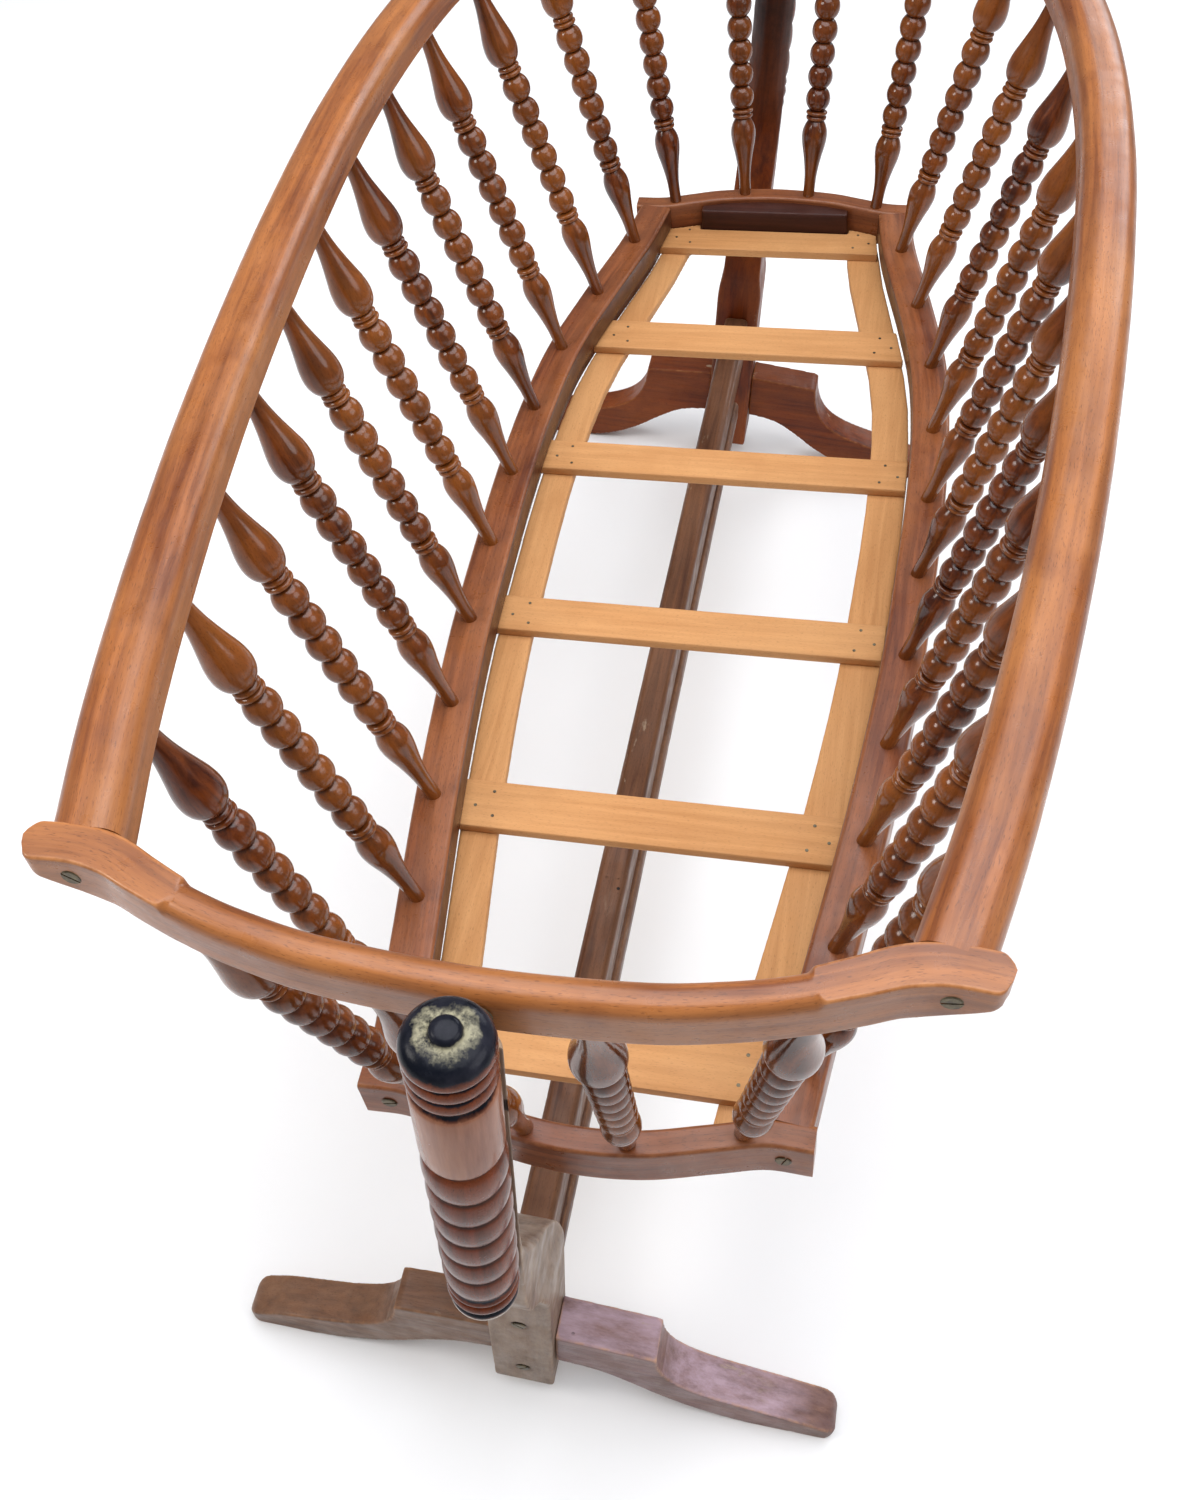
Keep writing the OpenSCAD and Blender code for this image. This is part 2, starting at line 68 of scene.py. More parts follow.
EYE = Vector((0.0921, -0.7675, 1.0885))
YAW, PITCH, ROLL = (math.radians(a) for a in (-10.72, 52.69, 0.54))
ahead = Vector((math.sin(YAW) * math.cos(PITCH), math.cos(YAW) * math.cos(PITCH), -math.sin(PITCH)))
level = Vector((math.cos(YAW), -math.sin(YAW), 0))
upward = level.cross(ahead)
right = level * math.cos(ROLL) + upward * math.sin(ROLL)
up = upward * math.cos(ROLL) - level * math.sin(ROLL)
camera = bpy.data.objects.new("camera", bpy.data.cameras.new("camera"))
camera.matrix_world = Matrix((right, up, -ahead)).transposed().to_4x4()
camera.location = EYE
camera.data.sensor_width = 36
camera.data.lens = 36.4
camera.data.clip_start = 0.01
bpy.context.scene.collection.objects.link(camera)
bpy.context.scene.camera = camera

# ------------------------------------------------------------------ noise and lines


def hash_grid(i, j, k, seed):
    """A repeatable number from 0 to 1 for each whole-numbered place."""
    h = (i * 374761393 + j * 668265263 + k * 2147483647 + seed * 1274126177) & 0xFFFFFFFF
    h = ((h ^ (h >> 13)) * 1103515245) & 0xFFFFFFFF
    return ((h ^ (h >> 16)) & 0xFFFFFF) / 0xFFFFFF


def lumps(co, scale, seed):
    """Smooth noise from -1 to 1 at each point of co, with bumps about 1/scale apart."""
    p = co * scale
    c = np.floor(p).astype(np.int64)
    f = p - c
    f = f * f * (3 - 2 * f)
    total = np.zeros(len(co))
    for a in (0, 1):
        for b in (0, 1):
            for d in (0, 1):
                w = (f[:, 0] if a else 1 - f[:, 0]) * (f[:, 1] if b else 1 - f[:, 1]) * (
                    f[:, 2] if d else 1 - f[:, 2])
                total += w * hash_grid(c[:, 0] + a, c[:, 1] + b, c[:, 2] + d, seed)
    return total * 2 - 1


def smooth(points, steps):
    """A Catmull-Rom line through the points."""
    P = [np.array(p, float) for p in points]
    P = [2 * P[0] - P[1]] + P + [2 * P[-1] - P[-2]]
    out = []
    for a, b, c, d in zip(P, P[1:], P[2:], P[3:]):
        for j in range(steps):
            t = j / steps
            out.append(0.5 * (2 * b + (c - a) * t + (2 * a - 5 * b + 4 * c - d) * t * t
                              + (3 * b - a - 3 * c + d) * t ** 3))
    return np.array(out + [P[-2]])


def mirrored(points):
    """The points, then the mirror images of all but the last, in reverse order."""
    return list(points) + [(-x, y) for x, y in reversed(points[:-1])]


def even(line, gap):
    """The same line with points about gap apart."""
    far = np.concatenate([[0], np.cumsum(np.linalg.norm(np.diff(line, axis=0), axis=1))])
    n = max(2, int(round(far[-1] / gap)) + 1)
    s = np.linspace(0, far[-1], n)
    return np.stack([np.interp(s, far, line[:, i]) for i in range(line.shape[1])], 1), s


# ------------------------------------------------------------------ pieces

def seed_of(name):
    """A whole number that is the same each run, from the piece's name."""
    return sum((i + 3) * ord(c) for i, c in enumerate(name)) % 9973


def bend(mesh):
    """How sharply the surface bends at each vertex, per mm: positive on an edge, negative in a groove."""
    n, e = len(mesh.vertices), len(mesh.edges)
    co, no, ends = np.zeros(n * 3), np.zeros(n * 3), np.zeros(e * 2, np.int64)
    mesh.vertices.foreach_get("co", co)
    mesh.vertex_normals.foreach_get("vector", no)
    mesh.edges.foreach_get("vertices", ends)
    co, no, ends = co.reshape(-1, 3), no.reshape(-1, 3), ends.reshape(-1, 2)
    i, j = ends[:, 0], ends[:, 1]
    away = co[i] - co[j]
    size = np.maximum((away ** 2).sum(1), 1e-10)
    k = ((no[i] - no[j]) * away).sum(1) / size * MM
    k = np.clip(k, -1.5, 1.5)
    count = np.bincount(i, minlength=n) + np.bincount(j, minlength=n)
    count = np.maximum(count, 1)
    value = (np.bincount(i, k, n) + np.bincount(j, k, n)) / count
    for _ in range(2):
        value = 0.4 * value + 0.6 * (
            np.bincount(i, value[j], n) + np.bincount(j, value[i], n)) / count
    return value


def finish_piece(mesh, name, nodes, body, slot, grain, hung, sharp=40, look=None, **marks):
    """Makes an object of the mesh, with its grain, its bend (for worn edges and painted shade in the grooves)
    and marks, and puts it in place of the CAD nodes.
    """
    start = seed_of(name)
    shift = np.array([(start % 97) * 0.31, (start % 89) * 0.07, (start % 83) * 0.09])
    at = mesh.attributes.new("grain", "FLOAT_VECTOR", "POINT")
    at.data.foreach_set("vector", (np.asarray(grain, float) * MM + shift).astype(np.float32).ravel())
    for mark, value in {"wear_and_shade": bend(mesh), **marks}.items():
        at = mesh.attributes.new(mark, "FLOAT", "POINT")
        at.data.foreach_set("value", np.asarray(value, np.float32).ravel())
    mesh.polygons.foreach_set("use_smooth", np.ones(len(mesh.polygons), bool))
    if hung:
        mesh.transform(hung)
    if sharp:
        mesh.set_sharp_from_angle(angle=math.radians(sharp))
    ob = bpy.data.objects.new(name, mesh)
    bpy.context.scene.collection.objects.link(ob)
    ob.data.materials.append(MATERIALS[look or slot])
    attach(ob, body)
    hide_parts(*nodes)
    return ob


def grid_mesh(name, rings):
    """A closed tube, capped at both ends, through rings of points, each with the same number, in mm."""
    rings = np.asarray(rings, float)
    n, m = rings.shape[:2]
    mesh = bpy.data.meshes.new(name)
    faces = []
    for i in range(n - 1):
        for k in range(m):
            q = (k + 1) % m
            faces.append((i * m + k, i * m + q, (i + 1) * m + q, (i + 1) * m + k))
    faces.append(tuple(range(m - 1, -1, -1)))
    faces.append(tuple((n - 1) * m + k for k in range(m)))
    mesh.from_pydata((rings.reshape(-1, 3) * MM).tolist(), [], faces)
    bm = bmesh.new()
    bm.from_mesh(mesh)
    bmesh.ops.recalc_face_normals(bm, faces=bm.faces)
    bm.to_mesh(mesh)
    bm.free()
    return mesh


def section(w, h, ra, rb, rf):
    """A bar's outline: top radii ra on its left and rb on its right, and rf below, as (across, up) in mm."""
    arcs = []
    for cx, cz, r, a in ((w / 2 - rb, h - rb, rb, 0), (-w / 2 + ra, h - ra, ra, 90),
                         (-w / 2 + rf, rf, rf, 180), (w / 2 - rf, rf, rf, 270)):
        turn = np.radians(a + np.linspace(0, 90, 9))
        arcs.append(np.stack([cx + r * np.cos(turn), cz + r * np.sin(turn)], 1))
    out = []
    for here, after in zip(arcs, arcs[1:] + arcs[:1]):
        out.append(here)
        out.append(here[-1] + (after[0] - here[-1]) * np.linspace(0, 1, 6)[1:-1, None])
    return np.concatenate(out)


def bar(name, line, shape, z, look="rail_wood", gap=3.0, uneven=0.22, stain=None, hung=HANG):
    """A bar along a plan line. shape(x, y) gives the section at a point of the line, in mm, and
    stain(along, across, up) says how dark it is stained, from 0 to 1."""
    line, s = even(np.array(line, float), gap)
    ahead = np.gradient(line, axis=0)
    ahead /= np.linalg.norm(ahead, axis=1)[:, None]
    aside = np.stack([ahead[:, 1], -ahead[:, 0]], 1)
    outlines = [shape(x, y) for x, y in line]
    rings, grain = [], []
    for p, u, q, far in zip(line, aside, outlines, s):
        rings.append(np.stack([p[0] + u[0] * q[:, 0], p[1] + u[1] * q[:, 0], z + q[:, 1]], 1))
        grain.append(np.stack([np.full(len(q), far), q[:, 0], q[:, 1]], 1))
    rings, grain = np.array(rings), np.array(grain)
    wave = lumps(rings.reshape(-1, 3), 1 / 55, seed_of(name)).reshape(rings.shape[:2])
    wave += 0.4 * lumps(rings.reshape(-1, 3), 1 / 17, seed_of(name) + 1).reshape(rings.shape[:2])
    middle = rings.mean(1, keepdims=True)
    away = rings - middle
    away /= np.maximum(np.linalg.norm(away, axis=2, keepdims=True), 1e-6)
    rings -= away * (0.5 + 0.5 * wave[:, :, None]) * uneven
    mesh = grid_mesh(name, rings)
    grain = grain.reshape(-1, 3)
    dark = stain(grain[:, 0], grain[:, 1], grain[:, 2]) if stain else np.zeros(len(grain))
    return finish_piece(mesh, name, [name.replace("_wood", "")], "basket", "rail_wood", grain, hung,
                        look=look, stain=dark)


def lathe(name, outline, turns, place, nodes, body, slot, hung, bite=None):
    """A turned piece: outline is (radius, height) in mm, place puts its axis, and bite is taken out of it."""
    a = np.linspace(0, 2 * math.pi, turns, endpoint=False)
    rings = np.array([np.stack([r * np.cos(a), r * np.sin(a), np.full(turns, z)], 1)
                      for r, z in outline])
    mesh = grid_mesh(name, rings)
    mesh.transform(place)
    if bite:
        mesh = without_box(mesh, *bite)
    back = place.inverted()
    co = np.array([back @ v.co for v in mesh.vertices]) / MM
    return finish_piece(mesh, name, nodes, body, slot, co[:, (2, 0, 1)], hung, 55)


def without_box(mesh, low, high):
    """The mesh with the box between two corners, in mm, cut away."""
    tool = bpy.data.meshes.new("tool")
    bm = bmesh.new()
    bmesh.ops.create_cube(bm, size=1)
    size = Vector(high) - Vector(low)
    bmesh.ops.scale(bm, vec=size * MM, verts=bm.verts)
    bmesh.ops.translate(bm, vec=(Vector(low) + size / 2) * MM, verts=bm.verts)
    bm.to_mesh(tool)
    bm.free()
    whole, cutter = (bpy.data.objects.new("cut", m) for m in (mesh, tool))
    for ob in (whole, cutter):
        bpy.context.scene.collection.objects.link(ob)
    m = whole.modifiers.new("cut", "BOOLEAN")
    m.operation, m.solver, m.object = "DIFFERENCE", "EXACT", cutter
    bpy.context.view_layer.update()
    done = bpy.data.meshes.new_from_object(whole.evaluated_get(bpy.context.evaluated_depsgraph_get()))
    for ob in (whole, cutter):
        bpy.data.objects.remove(ob)
    return done


def worn(node, body, slot, along, voxel=1.3, dents=0.22, hung=None, rounds=3, look=None, marks=None):
    """A denser copy of a CAD node with softened edges and small dents, in the node's place.
    marks(co, no) gives the piece's marks from its points in mm and its normals."""
    bm = bmesh.new()
    bm.from_mesh(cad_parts[node].data)
    bmesh.ops.remove_doubles(bm, verts=bm.verts, dist=1e-5)
    if hung:
        bm.transform(hung.inverted())
    mesh = bpy.data.meshes.new(node + "_raw")
    bm.to_mesh(mesh)
    bm.free()
    ob = bpy.data.objects.new(node + "_raw", mesh)
    bpy.context.scene.collection.objects.link(ob)
    m = ob.modifiers.new("grid", "REMESH")
    m.mode, m.voxel_size, m.adaptivity = "VOXEL", voxel * MM, 0
    m = ob.modifiers.new("soften", "SMOOTH")
    m.factor, m.iterations = 0.5, rounds
    bpy.context.view_layer.update()
    done = bpy.data.meshes.new_from_object(ob.evaluated_get(bpy.context.evaluated_depsgraph_get()))
    bpy.data.objects.remove(ob)
    n = len(done.vertices)
    co, no = np.zeros(n * 3), np.zeros(n * 3)
    done.vertices.foreach_get("co", co)
    done.vertex_normals.foreach_get("vector", no)
    co, no = co.reshape(-1, 3), no.reshape(-1, 3)
    s = seed_of(node)
    flat = co / MM
    deep = lumps(flat, 1 / 38, s) * 0.5 + lumps(flat, 1 / 12, s + 1) * 0.35
    nick = np.clip(lumps(flat, 1 / 7, s + 2) - 0.45, 0, 1) * 1.3
    co = co - no * ((0.5 + 0.5 * deep + nick) * dents * MM)[:, None]
    done.vertices.foreach_set("co", co.ravel())
    done.materials.clear()
    done.update()
    order = {"X": (0, 1, 2), "Y": (1, 0, 2), "Z": (2, 0, 1)}[along]
    return finish_piece(done, node + "_wood", [node], body, slot, (co / MM)[:, order], hung, 0, look,
                        **(marks(co / MM, no) if marks else {}))


# ------------------------------------------------------------------ materials


class Nodes:
    """Small helpers to build one material."""

    def __init__(self, name):
        self.material = bpy.data.materials.new(name)
        self.material.use_nodes = True
        self.tree = self.material.node_tree
        self.tree.nodes.clear()

    def put(self, socket, value):
        if isinstance(value, bpy.types.NodeSocket):
            self.tree.links.new(value, socket)
        else:
            socket.default_value = value

    def add(self, kind, settings=None, **inputs):
        node = self.tree.nodes.new(kind)
        for k, v in (settings or {}).items():
            setattr(node, k, v)
        for k, v in inputs.items():
            self.put(node.inputs[k.replace("_", " ")], v)
        return node

    def attribute(self, name):
        return self.add("ShaderNodeAttribute", {"attribute_name": name})

    def scaled(self, vector, scale):
        node = self.add("ShaderNodeMapping", Vector=vector)
        node.inputs["Scale"].default_value = scale
        return node.outputs[0]

    def noise(self, vector, scale, detail=4.0, rough=0.55, twist=0.0):
        return self.add("ShaderNodeTexNoise", Vector=vector, Scale=scale, Detail=detail,
                        Roughness=rough, Distortion=twist).outputs["Fac"]

    def remap(self, value, a, b, c=0.0, d=1.0):
        node = self.add("ShaderNodeMapRange", {"clamp": True}, Value=value)
        for k, v in zip(("From Min", "From Max", "To Min", "To Max"), (a, b, c, d)):
            node.inputs[k].default_value = v
        return node.outputs[0]

    def math(self, kind, a, b):
        node = self.add("ShaderNodeMath", {"operation": kind})
        self.put(node.inputs[0], a)
        self.put(node.inputs[1], b)
        return node.outputs[0]

    def mix(self, share, a, b, kind="MIX"):
        node = self.add("ShaderNodeMix", {"data_type": "RGBA", "blend_type": kind})
        self.put(node.inputs[0], share)
        self.put(node.inputs[6], (*a, 1) if isinstance(a, tuple) else a)
        self.put(node.inputs[7], (*b, 1) if isinstance(b, tuple) else b)
        return node.outputs[2]

    def bump(self, height, strength, deep, normal=None):
        node = self.add("ShaderNodeBump", Height=height)
        node.inputs["Strength"].default_value = strength
        node.inputs["Distance"].default_value = deep
        if normal is not None:
            self.put(node.inputs["Normal"], normal)
        return node.outputs[0]

    def shade(self, colour, roughness, normal, **plain):
        shader = self.add("ShaderNodeBsdfPrincipled")
        self.put(shader.inputs["Base Color"], colour)
        self.put(shader.inputs["Roughness"], roughness)
        self.put(shader.inputs["Normal"], normal)
        for k, v in plain.items():
            shader.inputs[k.replace("_", " ")].default_value = v
        out = self.add("ShaderNodeOutputMaterial")
        self.tree.links.new(shader.outputs[0], out.inputs[0])
        return self.material


def wood(name, deep, body, high, edge, groove_shade_and_stain, edge_at=(0.10, 0.30), groove_at=(-0.02, -0.16),
         edge_share=0.7, rough=(0.28, 0.5), coat=0.0, gloss=0.25, fleck=0.5, blotch=0.5, bump=0.35,
         scuffs=0.0, scuff_colour=(0.4, 0.3, 0.2), dust_and_sheen_colour=(0.36, 0.27, 0.21), holes=0.0, paint=None):
    """Varnished wood: grain streaks and short flecks along the piece, blotches, worn edges and painted shade
    in the grooves.
    The piece's own marks darken it with stain, or turn it grey with dust and painted sheen."""
    n = Nodes(name)
    grain = n.attribute("grain").outputs["Vector"]
    wear_and_shade, stain, fade = (n.attribute(mark).outputs["Fac"] for mark in ("wear_and_shade", "stain", "fade"))
    wide = n.noise(n.scaled(grain, (4, 14, 14)), 1.6, 3)
    streak = n.noise(n.scaled(grain, (9, 190, 190)), 1.0, 5, 0.6, 0.5)
    fine = n.noise(n.scaled(grain, (40, 900, 900)), 1.0, 3, 0.6)
    flecks = n.remap(n.noise(n.scaled(grain, (330, 2300, 2300)), 1.0, 1, 0.4), 0.62, 0.72)
    patch = n.noise(grain, 22, 4, 0.6)
    colour = n.mix(n.remap(streak, 0.36, 0.64), deep, body)
    colour = n.mix(n.math("MULTIPLY", n.remap(wide, 0.38, 0.66), blotch), colour, high)
    colour = n.mix(n.math("MULTIPLY", n.remap(fine, 0.52, 0.75), 0.3), colour, deep)
    colour = n.mix(n.math("MULTIPLY", flecks, fleck), colour, tuple(c * 0.45 for c in deep))
    colour = n.mix(n.math("MULTIPLY", n.remap(patch, 0.54, 0.74), 0.5), colour, deep)
    broken = n.remap(n.noise(grain, 130, 4, 0.65), 0.36, 0.62)
    ragged = n.remap(n.noise(n.scaled(grain, (25, 90, 90)), 1.0, 5, 0.7), 0.3, 0.7, 0.2, 1.3)
    # Greys the wood by the piece's marks: dust, and painted sheen.
    colour = n.mix(n.math("MULTIPLY", fade, ragged), colour, dust_and_sheen_colour)
    rub = n.math("MULTIPLY", n.remap(wear_and_shade, *edge_at), n.math("MULTIPLY", broken, edge_share))
    colour = n.mix(rub, colour, edge)
    if scuffs:
        bare = n.remap(n.noise(n.scaled(grain, (18, 60, 60)), 1.0, 6, 0.72), 0.66 - scuffs * 0.1, 0.68)
        bare = n.math("MULTIPLY", bare, n.remap(n.noise(grain, 9, 2), 0.45, 0.6, 0.0, 0.8))
        colour = n.mix(bare, colour, scuff_colour)
    # Painted shade in the grooves, where the surface bends inwards; the same colour serves for the stain
    # below.
    colour = n.mix(n.remap(wear_and_shade, *groove_at), colour, groove_shade_and_stain)
    colour = n.mix(n.math("MULTIPLY", stain, n.remap(broken, 0, 1, 0.8, 1.0)), colour, groove_shade_and_stain)
    if holes:
        spots = n.add("ShaderNodeTexVoronoi", {"feature": "F1"}, Vector=grain, Scale=95.0)
        lone = n.noise(grain, 14, 2)
        pit = n.math("MULTIPLY", n.remap(spots.outputs["Distance"], 0.13, 0.10), n.remap(lone, 0.62, 0.66))
        colour = n.mix(pit, colour, (0.01, 0.006, 0.004))
    if paint:
        colour = paint(n, colour, grain, broken)
    mark = n.remap(n.noise(grain, 60, 4, 0.6), 0.35, 0.7)
    shine = n.remap(mark, 0, 1, *rough)
    if scuffs:
        shine = n.math("MAXIMUM", shine, n.math("MULTIPLY", bare, 0.8))
    normal = n.bump(streak, bump, 0.0004)
    normal = n.bump(fine, bump * 0.8, 0.00015, normal)
    normal = n.bump(patch, bump * 0.8, 0.0008, normal)
    if holes:
        normal = n.bump(n.math("SUBTRACT", 1.0, pit), 0.8, 0.001, normal)
    return n.shade(colour, shine, normal, Coat_Weight=coat, Coat_Roughness=0.22, Specular_IOR_Level=gloss)


def column_bands(n, colour, grain, broken):
    """Black lines at the column's foot, round its smooth band and on its cap, and a pale ring on top."""
    place = n.add("ShaderNodeSeparateXYZ")
    n.put(place.inputs[0], n.add("ShaderNodeTexCoord").outputs["Object"])
    ragged = n.math("MULTIPLY", n.math("SUBTRACT", broken, 0.5), 0.0012)
    z = n.math("ADD", place.outputs[2], ragged)

    def between(low, high, soft=0.0008):
        return n.math("MULTIPLY", n.remap(z, low - soft, low + soft), n.remap(z, high + soft, high - soft))

    tan = n.mix(n.remap(n.noise(n.scaled(grain, (10, 120, 120)), 1.0, 5, 0.6), 0.35, 0.7),
                (0.17, 0.052, 0.026), (0.36, 0.15, 0.080))
    colour = n.mix(between(0.5245, 0.5795), colour, tan)
    black = n.mix(n.remap(n.noise(grain, 90, 4), 0.4, 0.7), (0.004, 0.005, 0.009), (0.020, 0.020, 0.028))
    lines = [between(0.5208, 0.5240, 0.0005), between(0.5795, 0.5838), between(0.5918, 0.5938, 0.0005),
             between(0.6016, 0.6040, 0.0005), between(0.3735, 0.3775), between(0.3520, 0.3568)]
    dark = n.remap(z, 0.6085, 0.6105)
    for line in lines:
        dark = n.math("MAXIMUM", dark, line)
    colour = n.mix(dark, colour, black)
    colour = n.mix(n.remap(z, 0.3520, 0.3508), colour, (0.42, 0.34, 0.27))
    blotch = n.remap(n.noise(grain, 190, 5, 0.75), 0.36, 0.56)
    pale = n.math("MULTIPLY", between(0.6153, 0.6170, 0.0006), blotch)
    return n.mix(n.math("MULTIPLY", pale, 0.9), colour, (0.36, 0.33, 0.22))


def metal():
    """Dull, tarnished iron with a trace of brass where it is rubbed."""
    n = Nodes("iron_look")
    place = n.add("ShaderNodeTexCoord").outputs["Object"]
    big = n.noise(place, 260, 4, 0.6)
    tiny = n.noise(place, 1500, 3, 0.6)
    colour = n.mix(n.remap(big, 0.35, 0.65), (0.055, 0.045, 0.032), (0.21, 0.175, 0.11))
    colour = n.mix(n.math("MULTIPLY", n.remap(tiny, 0.5, 0.75), 0.6), colour, (0.09, 0.045, 0.02))
    normal = n.bump(tiny, 0.4, 0.0002)
    return n.shade(colour, n.remap(big, 0.3, 0.7, 0.35, 0.6), normal, Metallic=0.8)


rail_figure = dict(rough=(0.26, 0.46), fleck=0.55, blotch=0.6, edge_at=(0.12, 0.34))
stand_figure = dict(rough=(0.34, 0.6), fleck=0.5, blotch=0.6, bump=0.6, edge_at=(0.10, 0.34), holes=1.0,
                    scuff_colour=(0.40, 0.31, 0.21))
MATERIALS = {
    "rail_wood": wood("rail_look", (0.155, 0.040, 0.010), (0.340, 0.108, 0.026), (0.48, 0.190, 0.055),
                      (0.56, 0.24, 0.09), (0.030, 0.010, 0.006), coat=0.1, gloss=0.45, **rail_figure),
    "low_rail": wood("low_rail_look", (0.100, 0.024, 0.009), (0.235, 0.068, 0.023), (0.35, 0.125, 0.042),
                     (0.44, 0.19, 0.08), (0.020, 0.007, 0.005), gloss=0.4, **rail_figure),
    "dark_rail": wood("dark_rail_look", (0.022, 0.006, 0.004), (0.050, 0.014, 0.009), (0.075, 0.022, 0.014),
                      (0.16, 0.06, 0.03), (0.008, 0.004, 0.003), rough=(0.35, 0.55), fleck=0.3,
                      edge_at=(0.15, 0.4), edge_share=0.4),
    "spindle_wood": wood("spindle_look", (0.045, 0.009, 0.003), (0.160, 0.036, 0.007), (0.34, 0.105, 0.018),
                         (0.40, 0.14, 0.035), (0.022, 0.006, 0.003), gloss=0.45, rough=(0.10, 0.24),
                         fleck=0.45, blotch=0.6, edge_at=(0.085, 0.20), groove_at=(-0.05, -0.35),
                         edge_share=0.35),
    "column_wood": wood("column_look", (0.024, 0.004, 0.002), (0.130, 0.022, 0.008), (0.24, 0.060, 0.018),
                        (0.42, 0.20, 0.12), (0.010, 0.003, 0.002), gloss=0.12, rough=(0.14, 0.3),
                        fleck=0.5, blotch=0.6, edge_at=(0.12, 0.30), groove_at=(-0.02, -0.2),
                        edge_share=0.8, paint=column_bands),
    "stand_wood": wood("stand_look", (0.060, 0.020, 0.008), (0.150, 0.060, 0.026), (0.22, 0.105, 0.052),
                       (0.38, 0.18, 0.085), (0.018, 0.008, 0.006), scuffs=0.5, **stand_figure),
    # The near post's copy of the stand wood, greyer for dust and painted sheen.
    "near_post": wood("near_post_look", (0.058, 0.026, 0.014), (0.125, 0.062, 0.032), (0.19, 0.105, 0.062),
                      (0.38, 0.25, 0.16), (0.018, 0.009, 0.006), dust_and_sheen_colour=(0.36, 0.26, 0.185),
                      scuffs=0.3, **stand_figure),
    # The near right foot's copy of the stand wood, whose purple-grey fade colour is painted sheen.
    "grey_foot": wood("painted_sheen_foot_look", (0.075, 0.030, 0.018), (0.180, 0.085, 0.055), (0.26, 0.15, 0.12),
                      (0.66, 0.36, 0.18), (0.020, 0.009, 0.006), dust_and_sheen_colour=(0.44, 0.31, 0.36),
                      scuffs=0.5, **stand_figure),
    # A darker, redder copy of the stand wood for the far post and the far feet: painted shade for the far
    # end.
    "far_stand": wood("shaded_far_stand_look", (0.060, 0.008, 0.001), (0.165, 0.028, 0.002), (0.26, 0.062, 0.008),
                      (0.32, 0.12, 0.035), (0.010, 0.003, 0.002), scuffs=0.15, **stand_figure),
    "bare_beech": wood("beech_look", (0.47, 0.215, 0.076), (0.575, 0.280, 0.106), (0.63, 0.335, 0.140),
                       (0.48, 0.25, 0.11), (0.18, 0.08, 0.036), gloss=0.2, rough=(0.5, 0.66),
                       fleck=0.4, blotch=0.5, bump=0.3, edge_at=(0.15, 0.5), edge_share=0.4),
    "iron": metal(),
}
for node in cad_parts.values():
    for spot in node.material_slots:
        spot.material = MATERIALS[spot.material.name.split(".")[0]]

# ------------------------------------------------------------------ rails

HOOP = [(173, -468), (188, -400), (203, -310), (216, -210), (226, -100), (232, 0), (234, 90),
        (230, 180), (219, 262), (197, 345), (161, 420), (112, 470), (57, 497), (0, 504)]
UPPER_FOOT = [(192, -476), (172, -475), (156, -478), (140, -485), (120, -493), (95, -500),
              (60, -506), (0, -509)]
LOWER_FOOT = [(126, -430), (100, -430), (72, -437), (36, -446), (0, -449)]
LOWER_HEAD = [(122, 430), (97, 431), (72, 438), (45, 445), (0, 449)]
SIDE = [(112, -423), (118, -370), (125, -315), (135, -237), (143, -160), (149, -85), (152, -9),
        (154, 67), (153, 145), (147, 219), (132, 294), (114, 370), (106, 423)]

hoop_line = smooth(mirrored(HOOP), 8)
side_line = smooth(SIDE, 8)
HOOP_WIDTH = ((-470, -50, 200, 400, 480), (31, 32, 31.5, 28.5, 26))
bar("top_hoop_wood", hoop_line,
    lambda x, y: section(np.interp(y, *HOOP_WIDTH), UPPER_H, 11, 11, 3), UPPER_Z, hung=HANG_TOP)


def foot_section(x, y):
    """The upper foot rail's outline: rounded over in the middle, squarer and upswept at its tips."""
    x = abs(x)
    wide = END_W + 3 * min(1, max(0, x - 120) / 40)
    wide *= math.sqrt(max(0.12, 1 - max(0, (x - 188.5) / 6.2) ** 2))
    over = min(max(1.6, min(7.4, 1.6 + (126 - x) * 3)), wide * 0.45)
    lift = 15 * (max(0, x - 160) / 34.5) ** 2
    outline = section(wide, UPPER_H - lift, over, over, 1.4 if wide > 6 else 0.8)
    return outline + (0, lift)


foot_line = smooth(mirrored([(194.6, -476.4)] + UPPER_FOOT), 8)
bar("upper_foot_rail_wood", foot_line, foot_section, UPPER_Z, gap=1.2, hung=HANG_TOP)


def side_section(x, y):
    """A lower side rail's outline, whose lip reaches inwards just above the slats."""
    outline = section(SIDE_W, LOWER_H, 3, 3, 2)
    above = outline[:, 1] > LIP_Z
    inner = outline[:, 0] < 3.01 - SIDE_W / 2
    outline[above & inner, 0] -= LIP
    return outline


def end_section(x, y):
    """The outline of both lower end rails."""
    return section(END_W, LOWER_H, 2.5, 2.5, 1.5)


def rough_side(far, across, up):
    """Dark on the face towards the slats, which was never varnished."""
    return np.where(across < -12, 0.75, 0) * np.where(up < 30.5, 1, 0) + np.where(up < 1, 0.5, 0)


def rough_end(far, across, up):
    """Dark on the outer face of the lower head rail, and on its underside."""
    return np.where(across < -7, 0.9, 0) + np.where(up < 1, 0.5, 0)


bar("lower_right_rail_wood", side_line, side_section, LOWER_Z, "low_rail", stain=rough_side)
bar("lower_left_rail_wood", [(-x, y) for x, y in side_line[::-1]], side_section, LOWER_Z, "low_rail",
    stain=rough_side)
bar("lower_foot_rail_wood", smooth(mirrored(LOWER_FOOT), 8), end_section, LOWER_Z, "low_rail")
bar("lower_head_rail_wood", smooth(mirrored(LOWER_HEAD), 8)[::-1], end_section, LOWER_Z, "low_rail",
    stain=rough_end)

# ------------------------------------------------------------------ spindles


